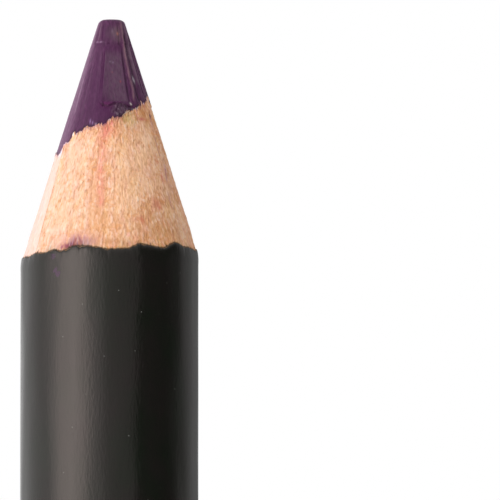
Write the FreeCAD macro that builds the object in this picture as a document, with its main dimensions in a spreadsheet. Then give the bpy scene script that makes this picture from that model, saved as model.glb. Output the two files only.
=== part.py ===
"""Wood-cased cosmetic crayon, sharpened, in millimetres.

The crayon stands on its dipped end: +Z runs up the barrel to the tip, and the origin is the
centre of the flat end face. It is built in the order that such crayons are made. Two grooved
wood slats are glued round a soft pigment core, the glued blank is turned round and primed, the
barrel is lacquered black, its blunt end is dipped in the core's colour, flush with the lacquer,
and one conical cut sharpens the other end through every layer. The turning missed the core a
little, so the core and the glue joint through it lie off the barrel's axis, and the sharpener's
axis misses the barrel's by less.
"""

import FreeCAD, Part
import Sketcher
import os

# Driving dimensions: alias, value and meaning. Lengths are millimetres and angles degrees.
SIZES = (
    ("crayon_length", 115.0, "flat end face to blunted tip"),
    ("barrel_diameter", 10.0, "over the lacquer"),
    ("core_diameter", 5.3, "pigment core"),
    ("core_shift_x", -0.37, "core axis from barrel axis"),
    ("core_shift_y", 0.12, "core axis from barrel axis"),
    ("joint_angle", 36.0, "glue joint from +X, counter-clockwise seen from the tip"),
    ("glue_film", 0.05, "glue between the slats and round the core"),
    ("primer_film", 0.04, "primer on the wood"),
    ("lacquer_film", 0.09, "lacquer on the primer"),
    ("cone_half_angle", 17.7, "sharpened cone, axis to side"),
    ("cone_shift", 0.08, "sharpening axis from barrel axis, along +X"),
    ("tip_diameter", 1.41, "where the blunting cuts the cone, before its edge is rounded"),
    ("tip_round", 0.3, "radius round the blunted tip"),
    ("tip_waste", 1.0, "blank above the blunted tip, sharpened away"),
    ("dip_length", 6.0, "end face to where the dip meets the lacquer"),
    ("dip_floor", 0.3, "dip over the end grain"),
    ("dip_edge", 0.4, "radius round the end face"),
)

# Sizes that follow from those, as expressions on the sheet.
BARREL_RADIUS = "Sizes.barrel_diameter / 2"
PRIMER_RADIUS = f"{BARREL_RADIUS} - Sizes.lacquer_film"
WOOD_RADIUS = f"{PRIMER_RADIUS} - Sizes.primer_film"
CORE_RADIUS = "Sizes.core_diameter / 2"
BORE_RADIUS = f"{CORE_RADIUS} + Sizes.glue_film"
HALF_GLUE = "Sizes.glue_film / 2"
BLANK_TOP = "Sizes.crayon_length + Sizes.tip_waste"
TIP_RADIUS = "Sizes.tip_diameter / 2"

# A radius outside the whole crayon, a height above its blank, and where the cone's side, carried
# on outward, reaches that radius.
CLEAR_RADIUS = "Sizes.barrel_diameter"
CLEAR_TOP = f"{BLANK_TOP} + Sizes.tip_waste"
CONE_FOOT = f"Sizes.crayon_length - ({CLEAR_RADIUS} - {TIP_RADIUS}) / tan(Sizes.cone_half_angle * 1 deg)"

# Where a sketch's origin goes on its plane: on the axis of the barrel, the core or the sharpener.
ON_BARREL = {}
ON_CORE = {"x": "Sizes.core_shift_x", "y": "Sizes.core_shift_y"}
ON_SHARPENER = {"x": "Sizes.cone_shift"}
JOINT_ANGLE = "Sizes.joint_angle"

# Which point of a sketched line or circle a constraint takes, and the sketch's own origin.
START, END, CENTRE = 1, 2, 3
SKETCH_ORIGIN = (-1, START)

UP = FreeCAD.Vector(0, 0, 1)
ON_AXIS = FreeCAD.Vector(0, 0, 0)

doc = FreeCAD.newDocument("crayon")
sheet = doc.addObject("Spreadsheet::Sheet", "Sizes")


def fill_sheet():
    """Writes the driving dimensions, one alias a row."""
    for row, (alias, value, meaning) in enumerate(SIZES, start=1):
        sheet.set(f"A{row}", alias)
        sheet.set(f"B{row}", str(value))
        sheet.set(f"C{row}", meaning)
        sheet.setAlias(f"B{row}", alias)
    doc.recompute()


def number(expression):
    """An expression's value, so that a sketch starts where its constraints hold it."""
    return float(sheet.evalExpression(expression))


def new_body(name):
    """An empty body whose Label names its node."""
    body = doc.addObject("PartDesign::Body", name)
    body.Label = name
    return body


def new_sketch(body, name, role, offset, turn=None):
    """A sketch on one of the body's origin planes, its origin and turn bound to expressions."""
    sketch = body.newObject("Sketcher::SketchObject", f"{body.Name}_{name}")
    plane = next(feature for feature in body.Origin.OriginFeatures if feature.Role == role)
    sketch.AttachmentSupport = (plane, [""])
    sketch.MapMode = "FlatFace"
    for axis, expression in offset.items():
        sketch.setExpression(f".AttachmentOffset.Base.{axis}", expression)
    if turn:
        sketch.setExpression(".AttachmentOffset.Rotation.Angle", turn)
    return sketch


def bind(sketch, kind, where, expression):
    """Adds one dimension to a sketch and binds it."""
    index = sketch.addConstraint(Sketcher.Constraint(kind, *where, number(expression)))
    sketch.setExpression(f"Constraints[{index}]", expression)


def add_circle(sketch, radius):
    """A circle about the sketch's origin."""
    circle = sketch.addGeometry(Part.Circle(ON_AXIS, UP, number(radius)))
    sketch.addConstraint(Sketcher.Constraint("Coincident", circle, CENTRE, *SKETCH_ORIGIN))
    bind(sketch, "Radius", (circle,), radius)


def add_outline(sketch, corners):
    """Straight sides through corners, each corner a pair of expressions."""
    points = [FreeCAD.Vector(number(x), number(y), 0) for x, y in corners]
    ends = points[1:] + points[:1]
    sides = [sketch.addGeometry(Part.LineSegment(start, end)) for start, end in zip(points, ends)]
    for side, following in zip(sides, sides[1:] + sides[:1]):
        sketch.addConstraint(Sketcher.Constraint("Coincident", side, END, following, START))
    for side, (x, y) in zip(sides, corners):
        bind(sketch, "DistanceX", (side, START), x)
        bind(sketch, "DistanceY", (side, START), y)


def extrude(body, sketch, base="Sizes.dip_floor"):
    """Pads a sketch from a height, by default the inside of the dip, to the blank's top."""
    sketch.setExpression(".AttachmentOffset.Base.z", base)
    feature = body.newObject("PartDesign::Pad", f"{sketch.Name}_pad")
    feature.Profile = (sketch, [""])
    feature.setExpression("Length", f"{BLANK_TOP} - {base}")
    return feature


def extrude_rounds(body, name, offset, *radii, **base):
    """Pads a disc, or the ring between two radii."""
    sketch = new_sketch(body, name, "XY_Plane", offset)
    for radius in radii:
        add_circle(sketch, radius)
    return extrude(body, sketch, **base)


def cut_through(body, sketch):
    """Pockets a sketch both ways through the whole blank."""
    feature = body.newObject("PartDesign::Pocket", f"{sketch.Name}_pocket")
    feature.Profile = (sketch, [""])
    feature.Type = "ThroughAll"
    feature.SideType = "Symmetric"
    return feature


def bore(body, radius):
    """Clears a round hole on the core's axis."""
    sketch = new_sketch(body, "bore", "XY_Plane", ON_CORE)
    add_circle(sketch, radius)
    return cut_through(body, sketch)


def sharpen(body):
    """Turns away everything outside the cone and above the blunted tip."""
    sketch = new_sketch(body, "cone", "XZ_Plane", ON_SHARPENER)
    add_outline(sketch, (
        ("0", "Sizes.crayon_length"),
        (TIP_RADIUS, "Sizes.crayon_length"),
        (CLEAR_RADIUS, CONE_FOOT),
        (CLEAR_RADIUS, CLEAR_TOP),
        ("0", CLEAR_TOP),
    ))
    feature = body.newObject("PartDesign::Groove", f"{sketch.Name}_groove")
    feature.Profile = (sketch, [""])
    feature.ReferenceAxis = (sketch, ["V_Axis"])
    feature.Angle = 360
    return feature


def round_edge(body, base, radius, height, edge_radius):
    """Rounds the circular edge of a feature that lies at a height and has a radius."""
    doc.recompute()
    wanted = (number(height), number(edge_radius))
    names = [
        f"Edge{index}"
        for index, edge in enumerate(base.Shape.Edges, start=1)
        if isinstance(edge.Curve, Part.Circle)
        and abs(edge.Curve.Center.z - wanted[0]) < 1e-6
        and abs(edge.Curve.Radius - wanted[1]) < 1e-6
    ]
    feature = body.newObject("PartDesign::Fillet", f"{body.Name}_round")
    feature.Base = (base, names)
    feature.setExpression("Radius", radius)
    return feature


def make_core():
    """The pigment core, the only piece that reaches the tip."""
    body = new_body("pigment_core")
    extrude_rounds(body, "rod", ON_CORE, CORE_RADIUS)
    cone = sharpen(body)
    round_edge(body, cone, "Sizes.tip_round", "Sizes.crayon_length", TIP_RADIUS)
    return body


def make_slat(name, side):
    """One wood slat of the casing; side is +1 for the one behind the glue joint."""
    body = new_body(name)
    extrude_rounds(body, "turned", ON_BARREL, WOOD_RADIUS)
    other_half = new_sketch(body, "joint", "XY_Plane", ON_CORE, JOINT_ANGLE)
    near, far = f"{side} * ({HALF_GLUE})", f"{-side} * 2 * {CLEAR_RADIUS}"
    add_outline(other_half, (
        (f"-2 * {CLEAR_RADIUS}", near),
        (f"2 * {CLEAR_RADIUS}", near),
        (f"2 * {CLEAR_RADIUS}", far),
        (f"-2 * {CLEAR_RADIUS}", far),
    ))
    cut_through(body, other_half)
    bore(body, BORE_RADIUS)
    sharpen(body)
    return body


def make_glue():
    """The glue: a sleeve round the core and the film in the joint, turned with the wood."""
    body = new_body("glue_film")
    extrude_rounds(body, "sleeve", ON_CORE, BORE_RADIUS)
    film = new_sketch(body, "film", "XY_Plane", ON_CORE, JOINT_ANGLE)
    add_outline(film, (
        (f"-{CLEAR_RADIUS}", f"-({HALF_GLUE})"),
        (CLEAR_RADIUS, f"-({HALF_GLUE})"),
        (CLEAR_RADIUS, HALF_GLUE),
        (f"-{CLEAR_RADIUS}", HALF_GLUE),
    ))
    extrude(body, film)
    turning = new_sketch(body, "turning", "XY_Plane", ON_BARREL)
    add_circle(turning, WOOD_RADIUS)
    add_circle(turning, f"2 * {CLEAR_RADIUS}")
    cut_through(body, turning)
    bore(body, CORE_RADIUS)
    sharpen(body)
    return body


def make_primer():
    """The primer, over the whole length of the wood."""
    body = new_body("primer_coat")
    extrude_rounds(body, "film", ON_BARREL, PRIMER_RADIUS, WOOD_RADIUS)
    sharpen(body)
    return body


def make_lacquer():
    """The lacquer, on the primer from the dip to the sharpened end."""
    body = new_body("black_lacquer")
    extrude_rounds(body, "film", ON_BARREL, BARREL_RADIUS, PRIMER_RADIUS, base="Sizes.dip_length")
    sharpen(body)
    return body


def make_dip():
    """The coloured dip over the blunt end, flat underneath so that the crayon stands."""
    body = new_body("end_dip")
    section = new_sketch(body, "section", "XZ_Plane", ON_BARREL)
    add_outline(section, (
        ("0", "0"),
        (BARREL_RADIUS, "0"),
        (BARREL_RADIUS, "Sizes.dip_length"),
        (PRIMER_RADIUS, "Sizes.dip_length"),
        (PRIMER_RADIUS, "Sizes.dip_floor"),
        ("0", "Sizes.dip_floor"),
    ))
    cup = body.newObject("PartDesign::Revolution", f"{body.Name}_cup")
    cup.Profile = (section, [""])
    cup.ReferenceAxis = (section, ["V_Axis"])
    cup.Angle = 360
    round_edge(body, cup, "Sizes.dip_edge", "0", BARREL_RADIUS)
    return body


def check_cuts(body):
    """Stops if a pocket or groove removed nothing."""
    for feature in body.Group:
        if feature.TypeId in ("PartDesign::Pocket", "PartDesign::Groove"):
            before, after = feature.BaseFeature.Shape.Volume, feature.Shape.Volume
            if after >= before:
                raise RuntimeError(f"{feature.Name} cut nothing")


def check_document(bodies):
    """Stops if any object failed or any body isn't one closed solid."""
    for item in doc.Objects:
        if {"Invalid", "Error"} & set(item.State):
            raise RuntimeError(f"{item.Name} failed: {item.State}")
    for body in bodies:
        check_cuts(body)
        if body.Shape.isNull() or not body.Shape.isValid() or len(body.Shape.Solids) != 1:
            raise RuntimeError(f"{body.Label} is not one valid solid")


def main():
    """Builds every piece, checks them and writes one STEP file for each."""
    fill_sheet()
    bodies = [
        make_core(),
        make_slat("front_slat", -1),
        make_slat("rear_slat", 1),
        make_glue(),
        make_primer(),
        make_lacquer(),
        make_dip(),
    ]
    doc.recompute()
    check_document(bodies)
    os.makedirs("parts", exist_ok=True)
    for body in bodies:
        body.Shape.exportStep(os.path.join("parts", f"{body.Label}.step"))
        box = body.Shape.BoundBox
        print(f"{body.Label}: {body.Shape.Volume:.2f} mm3, z {box.ZMin:.2f} to {box.ZMax:.2f}")


main()
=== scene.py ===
"""Looks of a sharpened, wood-cased cosmetic crayon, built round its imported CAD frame.

Every piece is a closed mesh, worked out in millimetres in the CAD frame: +Z runs up the barrel to
the tip, and the camera looks along +Y. A place on the crayon is an angle in degrees, 0 towards
the camera and growing to the right, and a height. All pieces share one cut surface, a cone about
the sharpener's axis, and each adds its own relief: knife facets and crumbs on the soft core, torn
fibres on the wood, and a chipped, rounded edge on the lacquer.
"""

import math

import bpy
import numpy as np
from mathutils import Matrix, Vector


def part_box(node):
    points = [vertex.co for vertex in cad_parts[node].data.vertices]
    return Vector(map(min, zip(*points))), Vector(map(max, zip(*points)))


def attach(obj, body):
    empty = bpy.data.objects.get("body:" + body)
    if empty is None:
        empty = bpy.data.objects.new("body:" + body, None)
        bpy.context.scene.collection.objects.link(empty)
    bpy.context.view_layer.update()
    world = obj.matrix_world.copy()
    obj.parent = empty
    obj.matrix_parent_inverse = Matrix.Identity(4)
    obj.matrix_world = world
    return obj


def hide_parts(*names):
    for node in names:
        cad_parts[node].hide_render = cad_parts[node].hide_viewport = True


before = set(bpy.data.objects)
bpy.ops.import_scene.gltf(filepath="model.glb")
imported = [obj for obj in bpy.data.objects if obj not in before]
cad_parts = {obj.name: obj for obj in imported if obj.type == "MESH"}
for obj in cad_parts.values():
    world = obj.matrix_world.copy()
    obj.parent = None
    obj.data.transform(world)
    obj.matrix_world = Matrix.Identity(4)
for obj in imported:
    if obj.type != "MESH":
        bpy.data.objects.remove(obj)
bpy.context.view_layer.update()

MM = 0.001


def extent(node):
    """A CAD node's lowest and highest corners, in millimetres."""
    low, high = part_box(node)
    return np.array(low) / MM, np.array(high) / MM


# Sizes read from the frame.
core_low, core_high = extent("pigment_core")
lacquer_low, lacquer_high = extent("black_lacquer")
primer_low, primer_high = extent("primer_coat")
slat_low = extent("front_slat")[0]
dip_low, dip_high = extent("end_dip")

TIP_Z = core_high[2]
FLOOR_Z = dip_low[2]
BLANK_Z = core_low[2]
BARREL_R = (lacquer_high[0] - lacquer_low[0]) / 2
PRIMER_R = (primer_high[0] - primer_low[0]) / 2
WOOD_R = -slat_low[1]
DIP_TOP_Z = dip_high[2]
CORE_R = (core_high[0] - core_low[0]) / 2
CORE_CENTRE = (core_low[:2] + core_high[:2]) / 2

# Sizes that the design shares with the CAD model.
GLUE = 0.05
BORE_R = CORE_R + GLUE
JOINT_ANGLE = 36.0
CONE_TAN = math.tan(math.radians(17.7))
CONE_AXIS = np.array((0.08, 0.0))
TIP_R = 0.705
TIP_ROUND = 0.38
APEX_Z = TIP_Z + TIP_R / CONE_TAN


# ---- noise

PERMUTATION = np.random.RandomState(7).permutation(256)
GRADIENTS = np.random.RandomState(11).normal(size=(256, 3))
GRADIENTS /= np.linalg.norm(GRADIENTS, axis=1)[:, None]
RANDOM = np.random.RandomState(13).rand(256, 4)


def lattice(corner, seed):
    """A hash from 0 to 255 of whole-number corners, given as an array of triples."""
    key = PERMUTATION[(corner[..., 0] + seed) & 255]
    key = PERMUTATION[(key + corner[..., 1]) & 255]
    return PERMUTATION[(key + corner[..., 2]) & 255]


def perlin(points, cell, seed):
    """Gradient noise, about -1 to 1, with a cell size of one number or three."""
    scaled = points / np.array(cell, float)
    base = np.floor(scaled).astype(int)
    inside = scaled - base
    fade = inside ** 3 * (inside * (inside * 6 - 15) + 10)
    total = 0.0
    for step in np.ndindex(2, 2, 2):
        step = np.array(step)
        weight = np.prod(np.where(step, fade, 1 - fade), axis=-1)
        total = total + weight * np.sum(GRADIENTS[lattice(base + step, seed)] * (inside - step), axis=-1)
    return 1.6 * total


def long_noise(points, across, along_axis, seed):
    """Gradient noise with cells of one size across the crayon and another along it."""
    return perlin(points, (across, across, along_axis), seed)


def cells(points, cell, seed):
    """Nearest random cell of each point: edge distance, a random tone and the place inside."""
    scaled = points / np.array(cell, float)
    base = np.floor(scaled).astype(int)
    nearest = np.full(points.shape[:-1], 9.0)
    second = nearest.copy()
    tone = np.zeros(points.shape[:-1])
    along = tone.copy()
    for step in np.ndindex(3, 3, 3):
        corner = base + np.array(step) - 1
        draw = RANDOM[lattice(corner, seed)]
        offset = corner + draw[..., :3] - scaled
        distance = np.sqrt(np.sum(offset ** 2, axis=-1))
        closer = distance < nearest
        second = np.where(closer, nearest, np.minimum(second, distance))
        tone = np.where(closer, draw[..., 3], tone)
        along = np.where(closer, -offset[..., 2], along)
        nearest = np.where(closer, distance, nearest)
    return second - nearest, tone, along


def smooth_step(low, high, value):
    """0 below low and 1 above high, with a smooth rise between; low may be the larger."""
    share = np.clip((value - low) / (high - low), 0, 1)
    return share * share * (3 - 2 * share)


# ---- the cut surface

def heading(angle):
    """Unit vector, seen from above, at an angle in degrees."""
    turn = np.radians(angle)
    return np.stack([np.sin(turn), -np.cos(turn)], axis=-1)


def reach(angle, centre, radius):
    """Distance from the sharpener's axis to a circle, at an angle."""
    offset = CONE_AXIS - np.array(centre)
    along = heading(angle) @ offset
    return -along + np.sqrt(along ** 2 - offset @ offset + radius ** 2)


def barrel_reach(angle, radius):
    """The same to a circle about the barrel's axis."""
    return reach(angle, (0, 0), radius)


def wood_reach(angle):
    """The same to the wood's outside."""
    return barrel_reach(angle, WOOD_R)


def bore_reach(angle):
    """The same to the bore that holds the core and its glue."""
    return reach(angle, CORE_CENTRE, BORE_R)


def cone_radius(z):
    """Radius of the ideal cut at a height."""
    return (APEX_Z - z) * CONE_TAN


def cone_height(radius):
    """Height at which the ideal cut has a radius."""
    return APEX_Z - radius / CONE_TAN


def place(angle, radius, z):
    """Points about the sharpener's axis."""
    flat = CONE_AXIS + heading(angle) * radius[..., None]
    return np.concatenate([flat, np.broadcast_to(z, radius.shape)[..., None]], axis=-1)


def turn_between(angle, centre):
    """Signed turn in degrees from a centre to an angle, -180 to 180."""
    return (angle - centre + 180) % 360 - 180


def bumps(angle, table):
    """Sum of smooth bumps, each an angle, a height in mm and a half-width in degrees."""
    total = 0.0
    for centre, height, width in table:
        total = total + height * np.exp(-(turn_between(angle, centre) / width) ** 2)
    return total


def round_noise(angle, cell, seed):
    """Noise round the crayon that meets itself, with a cell size in mm at the barrel."""
    ring = np.concatenate([heading(angle) * BARREL_R, np.zeros(angle.shape + (1,))], axis=-1)
    return perlin(ring, cell, seed)


# Where the wood's upper edge strays from the ideal: angle, rise in mm, half-width in degrees.
CORE_EDGE = (
    (76, 0.42, 12), (49.6, 0.26, 1.3), (40, -0.1, 8), (29.5, -0.15, 4.5), (14, -0.2, 6), (6, -0.1, 4),
    (-7, -0.2, 5), (-24, 0.08, 5), (-29.5, 0.28, 3), (-34, 0.04, 3), (-33.5, 0.12, 1.3), (-39, 0.3, 4),
    (-47, 0.34, 4), (-48, 0.14, 1.4), (-60, 0.37, 4.5), (-66, -0.42, 10), (120, -0.15, 14),
    (170, 0.2, 16), (-120, 0.15, 14),
)

# The same for the lacquer's upper edge.
LACQUER_EDGE = (
    (-80, -0.1, 9), (-66, -0.14, 6), (-48, -0.06, 6), (-38, 0.05, 3), (-33, -0.08, 4), (-21, 0.16, 7),
    (3, -0.18, 8), (13, -0.14, 4), (20, 0.1, 5), (31, -0.08, 5), (38.5, -0.14, 5), (49, 0.16, 5),
    (60, -0.06, 5), (80, -0.18, 12), (105, 0.12, 7), (125, -0.12, 8), (150, 0.14, 9), (172, -0.15, 7),
    (-160, 0.1, 8), (-135, -0.14, 9), (-110, 0.12, 7),
)

# How far the lacquer's edge lies below the ideal, on average.
EDGE_DROP = 0.12


def torn_core_edge(angle):
    """Height of the edge between core and wood, torn into teeth."""
    ideal = cone_height(bore_reach(angle))
    teeth = 0.16 * np.abs(round_noise(angle, 0.42, 3)) + 0.10 * np.abs(round_noise(angle, 0.18, 4))
    spikes = 0.6 * np.maximum(round_noise(angle, 0.26, 5) - 0.42, 0)
    return ideal + bumps(angle, CORE_EDGE) + teeth + spikes - 0.06


def chipped_lacquer_rise(angle):
    """How far the lacquer's edge strays from the ideal."""
    chips = 0.05 * round_noise(angle, 0.5, 8) - 0.07 * np.abs(round_noise(angle, 0.22, 9))
    return bumps(angle, LACQUER_EDGE) + chips + 0.03 * round_noise(angle, 0.09, 10) - EDGE_DROP


# Both edges, worked out once at fine steps, because every row of every piece reads them.
EDGE_ANGLES = np.linspace(0, 360, 7200, endpoint=False)
CORE_EDGE_LINE = torn_core_edge(EDGE_ANGLES)
LACQUER_RISE_LINE = chipped_lacquer_rise(EDGE_ANGLES)


def core_edge(angle):
    """Height of the edge between core and wood."""
    return np.interp(angle, EDGE_ANGLES, CORE_EDGE_LINE, period=360)


def lacquer_rise(angle):
    """How far the lacquer's edge strays from the ideal."""
    return np.interp(angle, EDGE_ANGLES, LACQUER_RISE_LINE, period=360)


def lacquer_edge(angle):
    """Height of the edge between wood and lacquer."""
    return cone_height(wood_reach(angle)) + lacquer_rise(angle)


# ---- mesh building

# Edges that turn by more than this many degrees are shaded sharp.
SHARP_ANGLE = 50


def grid_faces(rows, columns, wrap_rows, wrap_columns):
    """Quads of a grid of points numbered row by row, rows downward and columns to the right."""
    row, column = np.meshgrid(
        np.arange(rows if wrap_rows else rows - 1),
        np.arange(columns if wrap_columns else columns - 1),
        indexing="ij",
    )
    below, right = (row + 1) % rows, (column + 1) % columns
    corners = (row * columns + column, below * columns + column,
               below * columns + right, row * columns + right)
    return np.stack(corners, axis=-1).reshape(-1, 4).tolist()


def new_piece(name, points, faces, node, material, attributes=None):
    """A smooth-shaded object from points in mm that stands for a CAD node."""
    mesh = bpy.data.meshes.new(name)
    mesh.from_pydata((points * MM).tolist(), [], faces)
    mesh.shade_smooth()
    mesh.set_sharp_from_angle(angle=math.radians(SHARP_ANGLE))
    for label, values in (attributes or {}).items():
        kind, field = ("FLOAT_COLOR", "color") if values.ndim == 2 else ("FLOAT", "value")
        layer = mesh.attributes.new(label, kind, "POINT")
        layer.data.foreach_set(field, values.astype(np.float32).ravel())
    mesh.materials.append(material)
    piece = bpy.data.objects.new(name, mesh)
    bpy.context.scene.collection.objects.link(piece)
    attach(piece, "root")
    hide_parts(node)
    return piece


# ---- colours laid over a surface

def srgb(digits):
    """A linear, opaque colour from the six hex digits of a screen colour."""
    shares = np.frombuffer(bytes.fromhex(digits), np.uint8) / 255
    linear = np.where(shares <= 0.04045, shares / 12.92, ((shares + 0.055) / 1.055) ** 2.4)
    return (*linear.tolist(), 1.0)


def lay_over(stain, digits, strength):
    """Paints a colour, as hex digits, over a stain: colour times cover, and cover."""
    strength = np.clip(strength, 0, 1)[..., None]
    stain *= 1 - strength
    stain += strength * np.array(srgb(digits))


def patch(angle, z, middle, height, half_width, half_height, lean=0.0):
    """A soft oval mask on the cone; lean slides its top to the right, in mm per mm."""
    up = z - height
    across = np.radians(turn_between(angle, middle)) * cone_radius(height) - lean * up
    return np.exp(-(across / half_width) ** 2 - (up / half_height) ** 2)


def along(z, path):
    """Angle of a path at a height; a path is places as angle and height, lowest first."""
    return np.interp(z, [spot[1] for spot in path], [spot[0] for spot in path])


def stroke(angle, z, path, half_width, fade=0.25):
    """A soft line down the cone along a path, with soft ends."""
    across = np.radians(turn_between(angle, along(z, path))) * cone_radius(z)
    low, high = path[0][1], path[-1][1]
    ends = smooth_step(low - fade, low + fade, z) * smooth_step(high + fade, high - fade, z)
    return np.exp(-(across / half_width) ** 2) * ends


def lay_marks(stain, angle, z, marks, blotch):
    """Lays soft oval marks over a stain, broken up by a blotch mask."""
    for middle, height, half_width, half_height, strength, colour, *lean in marks:
        cover = patch(angle, z, middle, height, half_width, half_height, *lean)
        lay_over(stain, colour, strength * cover * blotch)


def lay_lines(stain, angle, z, lines, blotch=1.0):
    """Lays soft lines over a stain, broken up by a blotch mask."""
    for strength, half_width, colour, path in lines:
        lay_over(stain, colour, strength * stroke(angle, z, path, half_width) * blotch)


# ---- relief of the core

# The slice that a blade took off the front: its left and right edges, lowest place first.
SLICE_LEFT = ((-12.8, 110.3), (-12.3, 110.9), (-12.4, 112.0), (-13, 113.2))
SLICE_RIGHT = ((26, 110.2), (24.5, 111.2), (24.4, 112.0), (25, 112.6), (26, 113.1))
SLICE_LOW, SLICE_HIGH = 110.2, 113.15

# Other slices: middle angle, half-width in degrees, lowest and highest point.
FACETS = (
    (4, 15, 113.5, 114.55), (66, 9, 110.7, 114.2), (-150, 20, 109.3, 112.6), (150, 13, 110, 113.4),
    (-105, 11, 109.6, 111.9),
)

# The strongest ridge and the groove to its right.
RIDGE = ((36, 110.3), (38, 111.0), (36, 111.7), (35, 112.9), (37.5, 113.7), (38, 114.3), (41, 114.8))
GROOVE = ((46.5, 110.2), (45.3, 110.9), (45.3, 111.4), (47, 112), (47, 112.9), (46.3, 113.4), (43, 114))

# Grooves (below 0) and ridges (above 0) down the core: height and half-width in mm, and path.
SCORES = (
    (-0.025, 0.03, ((-13.5, 110.9), (-13.5, 112), (-14, 113.1))),
    (0.02, 0.04, ((-19, 110.6), (-18, 111.2), (-19, 112), (-21, 112.9))),
    (-0.06, 0.065, ((28.5, 110.15), (28, 111.2), (28.5, 112), (28, 112.6), (30, 113.2))),
    (0.065, 0.06, RIDGE), (-0.12, 0.09, GROOVE),
    (0.045, 0.07, ((54, 111.2), (54, 112), (52, 112.7), (56, 114.2))),
    (-0.05, 0.055, ((62, 110.5), (61, 111.8), (63, 114))),
    (-0.03, 0.04, ((70, 110.9), (69, 112.4), (70, 114.1))),
    (0.03, 0.045, ((-37, 113.75), (-36, 114.2), (-38, 114.7))),
    (-0.04, 0.05, ((-24, 113.7), (-26, 114.2), (-28, 114.75))),
    (-0.03, 0.045, ((24, 113.6), (27, 114.6))), (-0.06, 0.08, ((84, 110.8), (84, 114.2))),
    (-0.06, 0.11, ((118, 110.1), (119, 112.2), (117, 114.2))),
    (0.045, 0.07, ((127, 110), (127, 113.6))),
    (-0.06, 0.11, ((-128, 109.2), (-127, 111.2), (-129, 113.2))),
    (-0.06, 0.09, ((178, 109.8), (176, 113.2))),
)

# Where the blade stopped: the tip above is proud of the core below, with a beaded edge at the left.
STEP_Z = 113.56
STEP_RISE = 0.05

# The core's left side is worn a little inside the cone.
SIDE_WEAR = 0.042

# Pigment pushed down by the blade: a curled lip under the slice, and a crumb below it.
LIP_PATH = (
    (-16, 110.25), (-11, 110.06), (-3, 109.98), (5, 110.12), (14, 110.12), (25, 109.97), (33, 109.94),
)
CRUMB = (13, 109.7, 0.54, 0.4)

# Colours of the pigment, fresh, rubbed and in shade; among them are a painted sheen, painted highlights
# and painted shade.
PALE_BLOOM = "5a4454"
PAINTED_LILAC_SHEEN = "966e8e"
DEEP_PIGMENT_AND_SHADE = "420e3e"
PAINTED_SHADE_PURPLE = "2e182a"
CRUMB_DARK = "402e3a"
CRUMB_HIGHLIGHT = "705c6a"
LIP_SHADE = "32122c"

# Lines of colour down the core: strength, half-width in mm, colour, and path. The dark lines at the
# slice's left edge and in the grooves at 28.5 and 46 degrees are painted shade, and the deep line over
# the groove at -24 degrees partly so. The pale lines on the ridges at 37, 54 and -37 degrees are painted
# highlights.
CORE_LINES = (
    (0.55, 0.045, "481040", ((-14.5, 110.9), (-14.8, 112), (-16, 113.2))),
    (0.55, 0.07, PAINTED_SHADE_PURPLE, ((28.5, 110.1), (28, 111.2), (28.5, 112), (28, 112.6), (30, 113.2))),
    (0.5, 0.075, "907072", RIDGE), (0.75, 0.095, PAINTED_SHADE_PURPLE, GROOVE),
    (0.6, 0.11, "846c7a", ((55, 111.3), (54, 112), (52.5, 112.8), (56, 113.9), (58, 114.6))),
    (0.35, 0.05, "7a6070", ((66, 110.9), (65, 112.4), (67, 114.1))),
    (0.5, 0.05, "7a5c70", ((-37, 113.75), (-36, 114.2), (-38, 114.7))),
    (0.45, 0.12, DEEP_PIGMENT_AND_SHADE, ((-22, 113.6), (-24, 114.2), (-26, 114.75))),
    (0.4, 0.05, "74585c", ((24, 113.7), (28, 114.6))),
    (0.45, 0.11, DEEP_PIGMENT_AND_SHADE, ((-34, 109.6), (-30, 111.4), (-30, 113))),
    (0.35, 0.06, "684662", ((-42, 109.3), (-40, 111.4), (-44, 113))),
    (0.35, 0.06, "684662", ((-24, 109.8), (-23, 111.4), (-25, 113))),
    (0.45, 0.06, "a888a2", ((-58, 109.7), (-59, 110.4), (-60, 111.6))),
)

# Soft marks on the core: angle, height, half-width and half-height in mm, strength, colour, and sometimes
# a lean, in mm per mm. Some are painted light and shade. The deep marks at -14 and -31 degrees, just
# below the tip's step, paint the shade under its overhang. The pale marks at 8 and 4 degrees on the tip,
# at 46.9 degrees on the groove's wall, at 29.3 degrees on a bead, and at -40, -33 and -27 degrees on the
# step's beads are painted highlights.
CORE_MARKS = (
    (-12, 109.75, 0.75, 0.6, 0.95, DEEP_PIGMENT_AND_SHADE), (-6, 110, 0.34, 0.16, 0.8, "5c124e"),
    (-20, 111.2, 0.36, 1.3, 0.65, DEEP_PIGMENT_AND_SHADE), (-14, 113.35, 0.3, 0.2, 0.6, DEEP_PIGMENT_AND_SHADE),
    (-31, 113.5, 0.26, 0.06, 0.7, DEEP_PIGMENT_AND_SHADE), (8, 114.12, 0.34, 0.42, 0.8, "5e4856"),
    (22, 114.1, 0.16, 0.4, 0.5, "6e5458"), (20.9, 114.12, 0.05, 0.09, 0.6, "b87058"),
    (4, 114.3, 0.03, 0.13, 0.3, "8c7488"), (3, 111.88, 0.04, 0.05, 0.5, "863c46"),
    (17.5, 111.35, 0.04, 0.06, 0.6, "963e3c"), (-2, 112.5, 0.06, 0.05, 0.5, "7e6c82"),
    (5, 112.45, 0.04, 0.06, 0.6, "88768e"), (46.9, 111.5, 0.03, 0.2, 0.9, "c4b8c2", -0.07),
    (29.3, 110.04, 0.055, 0.08, 1, "c4b8b4"), (31, 109.72, 0.07, 0.09, 0.5, "84848e"),
    (-33, 113.63, 0.2, 0.035, 0.5, "8c6a88"), (-40, 113.65, 0.04, 0.045, 0.6, "ac8cac"),
    (-27, 113.64, 0.05, 0.045, 0.6, "ac8cac"), (-25.8, 109.04, 0.03, 0.12, 0.7, "aa8cc0"),
    (-22.4, 108.96, 0.03, 0.11, 0.6, "aa8cc0"), (-18, 108.86, 0.06, 0.07, 0.7, "baa0b4"),
)

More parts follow.
